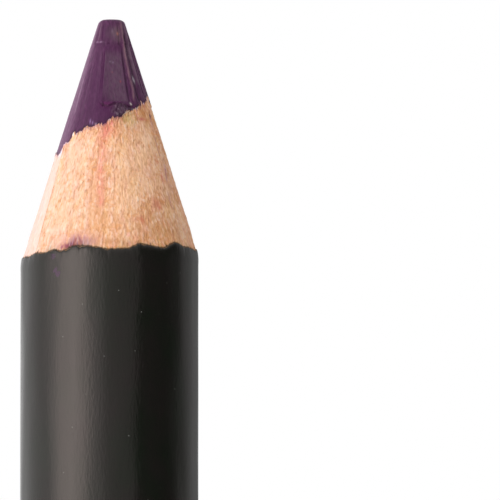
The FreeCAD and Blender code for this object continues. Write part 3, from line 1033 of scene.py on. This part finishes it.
GLUE_SPANS = (
    span((REAR_MIDDLE - 360, 1), (FRONT_MIDDLE, -1)),
    span((FRONT_MIDDLE, 1), (REAR_MIDDLE, -1)),
)


def cut_height(angle, share):
    """Height on the wood's cut, from the core's edge at share 0 to the lacquer's at 1."""
    return core_edge(angle) * (1 - share) + lacquer_edge(angle) * share


def under_edge(drop, sink):
    """The bore's ring at a drop below the torn edge, as functions from angle to height and radius."""
    return (lambda angle: core_edge(angle) - drop,
            lambda angle: np.minimum(bore_reach(angle), cone_radius(core_edge(angle) - drop) - sink))


def blank_foot(angle):
    """Height of the wood's blunt end."""
    return np.full(angle.shape, BLANK_Z)


# The casing's hidden rings in order from the cut's lower edge, down the outside and up the bore.
HIDDEN_RINGS = (
    (lambda angle: lacquer_edge(angle) - 0.04, wood_reach), (blank_foot, wood_reach),
    (blank_foot, bore_reach), *(under_edge(*tuck) for tuck in BORE_TUCKS),
)


def wood_grid(sector, columns, smoothness):
    """Points and marks of a sector of the casing: the cut, the outside, the foot and the bore."""
    across = np.linspace(0, 1, columns)
    share = np.linspace(0, 1, WOOD_ROWS)
    low, high = sector(lambda angle: cone_radius(cut_height(angle, share)))
    angle = low[:, None] + (high - low)[:, None] * across
    z = cut_height(angle, share[:, None])
    height, tone = wood_relief(angle, cone_radius(z), z, smoothness)
    rows = [place(angle, cone_radius(z) + height, z)]
    for height_at, radius_at in HIDDEN_RINGS:
        low, high = sector(radius_at)
        row_angle = low + (high - low) * across
        rows.append(place(row_angle, radius_at(row_angle), height_at(row_angle))[None])
    hidden = len(HIDDEN_RINGS) * columns
    tone = np.concatenate([tone.ravel(), np.full(hidden, 0.5)])
    stain = wood_stain(angle, z, smoothness).reshape(-1, 4)
    stain = np.concatenate([stain, np.zeros((hidden, 4))])
    return np.concatenate(rows), {"tone": tone, "stain": stain}


def close_with_ends(grid):
    """Points and faces of a grid whose rows close on themselves, with flat ends left and right."""
    rows, columns = grid.shape[:2]
    faces = grid_faces(rows, columns, True, False)
    left = [row * columns for row in range(rows)]
    faces.append(left[::-1])
    faces.append([corner + columns - 1 for corner in left])
    return grid.reshape(-1, 3), faces


def make_slat(side, middle, columns, material, smoothness):
    """One wood slat, from joint to joint."""
    grid, marks = wood_grid(span((middle, -1), (middle, 1)), columns, smoothness)
    points, faces = close_with_ends(grid)
    return new_piece(f"{side}_wood", points, faces, f"{side}_slat", material, marks)


def make_glue():
    """The glue in the joint, one film each side of the core, level with the torn wood."""
    all_points, all_faces = [], []
    for film in GLUE_SPANS:
        points, faces = close_with_ends(wood_grid(film, GLUE_COLUMNS, 0.6)[0])
        start = sum(len(group) for group in all_points)
        all_points.append(points)
        all_faces += [[corner + start for corner in face] for face in faces]
    return new_piece("glue_line", np.concatenate(all_points), all_faces, "glue_film", GLUE_FILM)


def profile_rings(angle, profile):
    """Rings of points round the crayon from pairs of radius and height."""
    return np.array([place(angle, radius, z) for radius, z in profile])


def make_ring(name, angle, profile, node, material):
    """A closed ring from pairs of radius and height round the crayon."""
    faces = grid_faces(len(profile), len(angle), True, True)
    points = profile_rings(angle, profile).reshape(-1, 3)
    return new_piece(name, points, faces, node, material)


def primer_edge(angle):
    """Height at which the lacquer starts over the primer, just below the wood's edge."""
    return lacquer_edge(angle) - 0.012 - 0.09 * np.maximum(round_noise(angle, 0.35, 51), 0)


# The coats come to their full thickness within this far of their cut edge, in mm.
COAT_TUCK = 0.3


def make_primer():
    """The primer, a thin line between wood and lacquer."""
    angle = columns_round(720)
    wood, primer = wood_reach(angle), barrel_reach(angle, PRIMER_R)
    top, foot = lacquer_edge(angle), primer_edge(angle)
    profile = (
        (wood + 0.004, top), (primer, foot), (primer, foot - COAT_TUCK), (primer, BLANK_Z),
        (wood, BLANK_Z), (wood, foot - COAT_TUCK), (wood - 0.02, top - 0.02),
    )
    return make_ring("primer", angle, profile, "primer_coat", PRIMER)


# The lacquer starts at a step over the primer and rolls over into the barrel within a height, in
# mm; its faint waves stay inside the barrel.
LACQUER_STEP = 0.01
LACQUER_ROLL = 0.62
LACQUER_WAVE = 0.006


def make_lacquer():
    """The lacquer: a cut edge that rounds over into the barrel, with faint waves."""
    angle = columns_round(760)
    primer, barrel = barrel_reach(angle, PRIMER_R), barrel_reach(angle, BARREL_R)
    edge = primer_edge(angle)
    profile = []
    for share in np.linspace(0, 1, 14):
        over = 1 - (1 - share) ** 2
        z = edge - LACQUER_ROLL * share ** 1.25
        ripple = 0.012 * long_noise(place(angle, barrel, z), 0.35, 0.25, 61) * (1 - share)
        step = primer + LACQUER_STEP
        profile.append((step + (barrel - step + ripple) * over, z))
    for drop in np.linspace(0.04, 1, 40) ** 2:
        z = (edge - LACQUER_ROLL) * (1 - drop) + DIP_TOP_Z * drop
        wave = long_noise(place(angle, barrel, z), 2.2, 5, 62) - 1
        profile.append((barrel + LACQUER_WAVE * wave, z))
    profile += [(primer, DIP_TOP_Z), (primer, edge - COAT_TUCK), (primer - 0.005, edge - 0.02)]
    return make_ring("lacquer", angle, profile, "black_lacquer", LACQUER)


# The dip, in mm: its thickness below the blank, the rounding of its end and how far its lip
# stands out.
DIP_THICKNESS = 0.3
DIP_ROUND = 0.42
DIP_LIP = 0.02


def make_dip():
    """The dipped end: rounded below, with a thin wavy lip where it meets the lacquer above."""
    angle = columns_round(360)
    barrel, primer = barrel_reach(angle, BARREL_R), barrel_reach(angle, PRIMER_R)
    inner_z, round_top = FLOOR_Z + DIP_THICKNESS, FLOOR_Z + DIP_ROUND
    profile = [(barrel_reach(angle, BARREL_R * share), FLOOR_Z) for share in (0.3, 0.6, 0.85)]
    for turn in np.radians(np.linspace(0, 90, 10)):
        radius = barrel_reach(angle, BARREL_R - DIP_ROUND * (1 - math.sin(turn)))
        profile.append((radius, FLOOR_Z + DIP_ROUND * (1 - math.cos(turn))))
    top = DIP_TOP_Z + 0.1 * round_noise(angle, 3, 71) + 0.04 * round_noise(angle, 1, 72)
    for share in np.linspace(0, 1, 22)[1:]:
        z = round_top + (top - round_top) * share
        swell = DIP_LIP * smooth_step(0, 0.9, share)
        swell += 0.006 * long_noise(place(angle, barrel, z), 2, 1.5, 73)
        profile.append((barrel + swell, z))
    profile += [
        (barrel + DIP_LIP * 0.3, top + 0.05), (barrel - 0.03, top + 0.06),
        (barrel - 0.03, DIP_TOP_Z - 0.2), (primer, DIP_TOP_Z - 0.25),
        (primer, inner_z), (barrel_reach(angle, 0.2), inner_z),
    ]
    rings = profile_rings(angle, profile)
    points, faces = close_with_poles(rings, (0, 0, FLOOR_Z), (0, 0, inner_z))
    faces = [face[::-1] for face in faces]
    return new_piece("dipped_end", points, faces, "end_dip", DIP)


make_core()
make_slat("front", FRONT_MIDDLE, FRONT_COLUMNS, WOOD, 0.0)
make_slat("rear", REAR_MIDDLE, REAR_COLUMNS, PALE_WOOD, 0.72)
make_glue()
make_primer()
make_lacquer()
make_dip()


# ---- stage, light and camera

# Brightness of the studio round the crayon: angle, then level, where white card is 1.
STUDIO = (
    (-180, 0.6), (-165, 0.8), (-150, 0.8), (-125, 1), (-104, 1.12), (-92, 1.16), (-78, 2.05),
    (-62, 3.25), (-46, 3.75), (-34, 3.15), (-18, 1.38), (0, 0.72), (24, 0.58), (34, 0.48), (40, 0.17),
    (82, 0.12), (94, 0.17), (114, 0.4), (140, 0.42), (158, 0.22), (170, 0.28), (180, 0.6),
)
STUDIO_PEAK = 4.5
DOME = 1.0
WARMTH = (1.0, 0.955, 0.925)

# Heights over the horizon, in degrees, between which the dome's light turns to the ring's.
RING_FADE = (52, 16)


def studio_ring(net, direction):
    """The studio's light round the crayon, along a direction, as a share of its peak."""
    x, y = (net.add("SeparateXYZ", axis, {0: direction}) for axis in "XY")
    around = net.math("ARCTAN2", x, net.math("MULTIPLY", y, -1))
    levels = []
    for angle, level in STUDIO:
        warm = smooth_step(1.2, 3.0, level)
        colour = [level / STUDIO_PEAK * (1 - warm + warm * part) for part in WARMTH]
        levels.append((angle / 360 + 0.5, colour + [1]))
    return net.ramp(net.rescale(around, -math.pi, math.pi), levels, "EASE")


def make_studio():
    """Soft boxes and flags painted on the sky, behind a background that is plain white."""
    world = bpy.data.worlds.new("studio")
    world.use_nodes = True
    bpy.context.scene.world = world
    world.node_tree.nodes.clear()
    net = Nodes(world.node_tree)
    direction = net.add("TexCoord", "Generated", {})
    height = net.math("ABSOLUTE", net.add("SeparateXYZ", "Z", {0: direction}))
    low, high = np.sin(np.radians(RING_FADE)).tolist()
    band = net.rescale(height, low, high, interpolation_type="SMOOTHSTEP")
    level = net.mix(band, (DOME / STUDIO_PEAK,) * 3 + (1,), studio_ring(net, direction))
    lit = net.add("Background", 0, {"Color": level, "Strength": STUDIO_PEAK})
    backdrop = net.add("Background", 0, {"Color": (1, 1, 1, 1)})
    output = net.nodes.new("ShaderNodeOutputWorld")
    net.put(net.choose("Is Camera Ray", lit, backdrop), output.inputs["Surface"])


FLOOR_RADIUS = 600.0
# Distances from the crayon, in mm, between which the floor turns to white, like a studio's sweep.
FLOOR_GLOW = (90.0, 520.0)
# The crayon's gloss meets the studio's soft boxes in the floor too, at this share of their light.
FLOOR_SHINE = 0.7


def make_floor():
    """A plain pale floor that the crayon stands on."""
    bpy.ops.mesh.primitive_circle_add(
        vertices=96, radius=FLOOR_RADIUS * MM, fill_type="NGON", location=(0, 0, FLOOR_Z * MM))
    floor = bpy.context.object
    floor.name = "floor"
    shader = Shader("floor")
    away = shader.add("VectorMath", "Value", {0: shader.place}, operation="LENGTH")
    glow = shader.rescale(away, FLOOR_GLOW[0] * MM, FLOOR_GLOW[1] * MM)
    floor.data.materials.append(shader.set(
        Base_Color=shader.mix(glow, srgb("e8e8e9"), (0, 0, 0, 1)), Roughness=0.8,
        Specular_IOR_Level=0.0, Emission_Color=(1, 1, 1, 1), Emission_Strength=glow,
    ))
    ring = studio_ring(shader, shader.place)
    shine = shader.add("Emission", 0, {"Color": ring, "Strength": STUDIO_PEAK * FLOOR_SHINE})
    seen = shader.choose("Is Glossy Ray", shader.surface.outputs[0], shine)
    shader.put(seen, shader.nodes["Material Output"].inputs["Surface"])


# The camera looks up a little, and its frame is 28 mm wide at the crayon.
VIEW_WIDTH = 28.09
VIEW_CENTRE = (7.89, 0.0, TIP_Z - 13.0)
VIEW_TILT = math.radians(4.4)
VIEW_DISTANCE = 500.0
SENSOR = 36.0


def make_camera():
    """A long lens in front of the crayon, aimed to its right so that it stands at the left."""
    data = bpy.data.cameras.new("camera")
    data.sensor_width = SENSOR
    data.lens = SENSOR * VIEW_DISTANCE / VIEW_WIDTH
    data.clip_start = 0.01
    data.clip_end = 10
    camera = bpy.data.objects.new("camera", data)
    bpy.context.scene.collection.objects.link(camera)
    x, y, z = VIEW_CENTRE
    back = VIEW_DISTANCE * math.cos(VIEW_TILT)
    camera.location = (x * MM, (y - back) * MM, (z - VIEW_DISTANCE * math.sin(VIEW_TILT)) * MM)
    camera.rotation_euler = (math.radians(90) + VIEW_TILT, 0, 0)
    bpy.context.scene.camera = camera


make_floor()
make_studio()
make_camera()
bpy.context.scene.view_settings.view_transform = "Standard"
bpy.context.scene.view_settings.look = "None"
